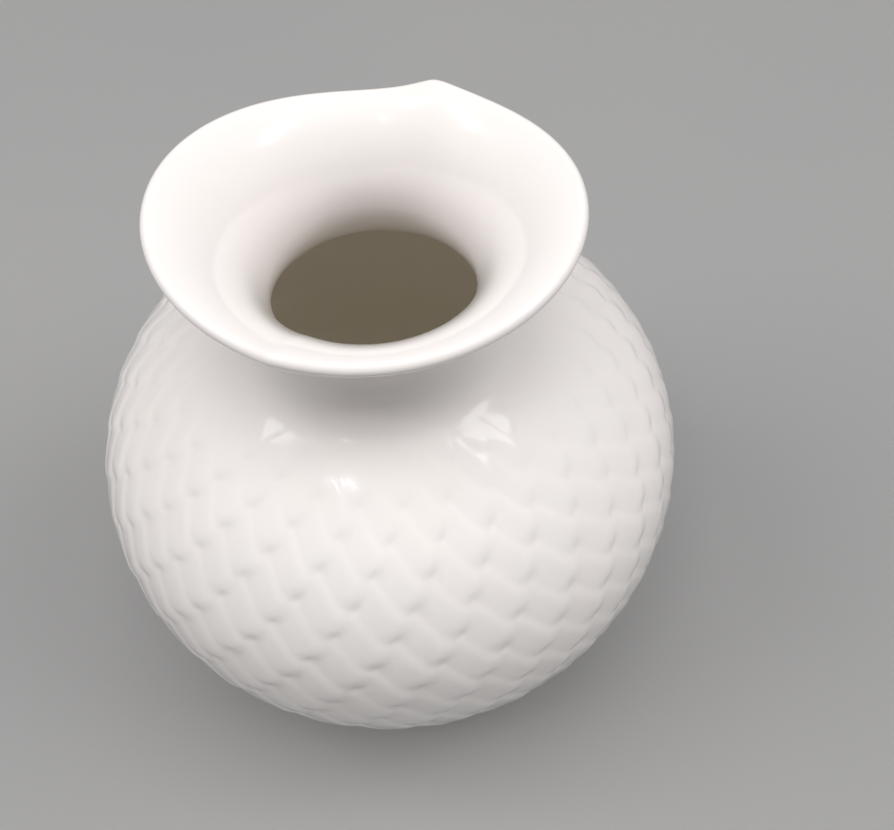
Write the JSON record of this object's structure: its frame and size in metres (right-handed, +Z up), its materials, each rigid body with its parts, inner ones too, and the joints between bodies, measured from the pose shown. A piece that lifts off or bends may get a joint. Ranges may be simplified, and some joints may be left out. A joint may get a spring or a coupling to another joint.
{
  "type": "porcelain vase",
  "caption": "Small ball-shaped white porcelain vase with a turned foot, waisted neck and wide trumpet mouth with a gently waving lip.",
  "frame": {"origin": "centre of the foot ring, on the surface the vase stands on", "axes": "+Z up along the vase's axis, through the mouth; -Y is the side the viewer faces, +X to the viewer's right"},
  "size_m": [0.14, 0.14, 0.1461],
  "materials": {
    "glaze": "clear gloss glaze over white porcelain",
    "biscuit": "matt unglazed porcelain, ground smooth"
  },
  "bodies": {
    "root": {"foot_ring": "biscuit", "base": "glaze", "belly": "glaze", "shoulder": "glaze", "neck": "glaze", "mouth": "glaze"}
  },
  "joints": []
}
